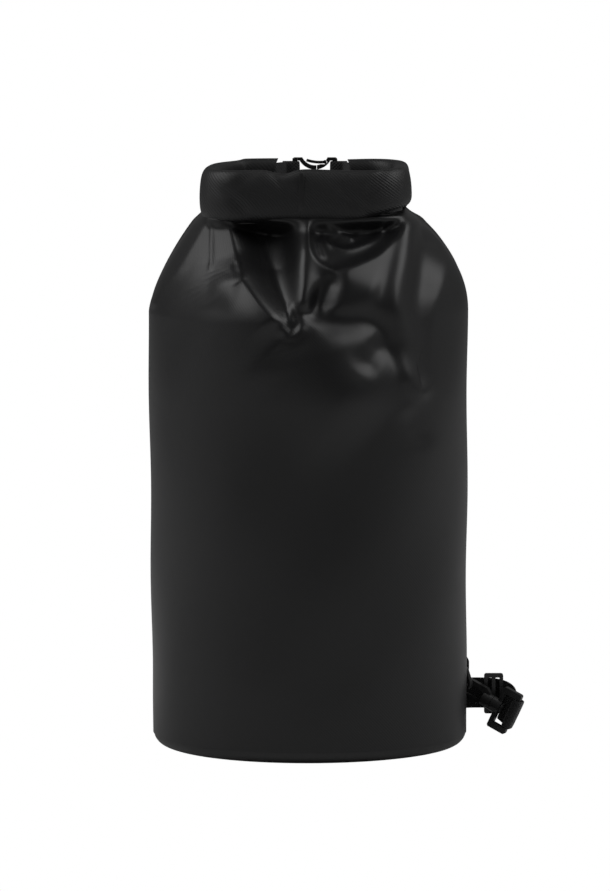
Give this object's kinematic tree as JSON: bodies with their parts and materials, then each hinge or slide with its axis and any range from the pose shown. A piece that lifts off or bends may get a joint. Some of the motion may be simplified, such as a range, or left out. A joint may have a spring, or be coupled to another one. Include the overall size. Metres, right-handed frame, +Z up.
{
  "type": "dry bag",
  "caption": "Roll-top waterproof bag with a buckled carry loop, lash rings and a webbing strap on swivel snap hooks.",
  "frame": {"origin": "centre of the round base on the ground, on the bag's axis", "axes": "+Z up along the bag, -Y out of the front, +X to the front's right, the side where the lower hook lies"},
  "size_m": [0.2451, 0.3036, 0.378],
  "materials": {
    "coated_fabric": "satin black coated woven tarpaulin",
    "weld_tape": "satin black welded coating",
    "webbing": "ribbed black webbing",
    "buckle_plastic": "moulded black acetal, light sheen",
    "hook_plastic": "moulded black nylon, semi-gloss",
    "stiffener_strip": "plain black strip"
  },
  "bodies": {
    "root": {"body_shell": "coated_fabric", "base_disc": "coated_fabric", "base_weld_band": "weld_tape", "back_seam_tape": "weld_tape", "roll_collar": "coated_fabric", "collar_stiffener": "stiffener_strip", "collar_seam_ridge": "weld_tape", "closure_webbing_left": "webbing", "closure_webbing_right": "webbing", "buckle_female": "buckle_plastic", "lower_ring_patch": "coated_fabric", "upper_ring_patch": "coated_fabric", "lower_ring_tab": "webbing", "upper_ring_tab": "webbing", "lower_swivel_frame": "hook_plastic", "upper_swivel_frame": "hook_plastic", "shoulder_strap": "webbing"},
    "buckle_plug": {"buckle_male": "buckle_plastic"},
    "prong_upper": {"buckle_prong_upper": "buckle_plastic"},
    "prong_lower": {"buckle_prong_lower": "buckle_plastic"},
    "lower_ring": {"lower_ring": "hook_plastic"},
    "upper_ring": {"upper_ring": "hook_plastic"},
    "lower_hook": {"lower_hook": "hook_plastic"},
    "upper_hook": {"upper_hook": "hook_plastic"},
    "lower_gate": {"lower_hook_gate": "hook_plastic"},
    "upper_gate": {"upper_hook_gate": "hook_plastic"},
    "slider": {"strap_slider": "buckle_plastic"}
  },
  "joints": [
    {"name": "buckle_release", "type": "slide", "parent": "root", "child": "buckle_plug", "axis": [1, 0, 0], "range_m": [0, 0.014], "deforming": ["closure_webbing_right", "buckle_prong_upper", "buckle_prong_lower"]},
    {"name": "prong_press_upper", "type": "hinge", "parent": "buckle_plug", "child": "prong_upper", "pos_m": [0.0114, 0.052, 0.3741], "axis": [0, -1, 0], "range_deg": [0, 3], "stiffness_Nm_per_rad": 0.02},
    {"name": "prong_press_lower", "type": "hinge", "parent": "buckle_plug", "child": "prong_lower", "pos_m": [0.0114, 0.052, 0.3549], "axis": [0, 1, 0], "range_deg": [0, 3], "stiffness_Nm_per_rad": 0.02},
    {"name": "lower_ring_swing", "type": "hinge", "parent": "root", "child": "lower_ring", "pos_m": [0.0993, 0.04012, 0.0438], "axis": [0.3746, -0.9272, 0], "range_deg": [0, 2]},
    {"name": "upper_ring_swing", "type": "hinge", "parent": "root", "child": "upper_ring", "pos_m": [0, 0.1078, 0.262], "axis": [1, 0, 0], "range_deg": [0, 2]},
    {"name": "lower_hook_swivel", "type": "hinge", "parent": "root", "child": "lower_hook", "pos_m": [0.13131, 0.03144, 0.01502], "axis": [0.8446, -0.3074, -0.4384], "range_deg": [-15, 3]},
    {"name": "upper_hook_swivel", "type": "hinge", "parent": "root", "child": "upper_hook", "pos_m": [0, 0.11329, 0.21327], "axis": [0, 0, -1], "range_deg": [-15, 15]},
    {"name": "lower_gate_open", "type": "hinge", "parent": "lower_hook", "child": "lower_gate", "pos_m": [0.11432, 0.03762, 0.02039], "axis": [0.342, 0.9397, 0], "range_deg": [0, 8], "stiffness_Nm_per_rad": 0.01},
    {"name": "upper_gate_open", "type": "hinge", "parent": "upper_hook", "child": "upper_gate", "pos_m": [0, 0.11639, 0.23187], "axis": [1, 0, 0], "range_deg": [0, 20], "stiffness_Nm_per_rad": 0.01},
    {"name": "slider_shift", "type": "slide", "parent": "root", "child": "slider", "axis": [-1, 0, 0], "range_m": [0, 0.006]}
  ],
  "couplings": [
    {"joint": "prong_press_lower", "follows": "prong_press_upper", "ratio": 1}
  ]
}
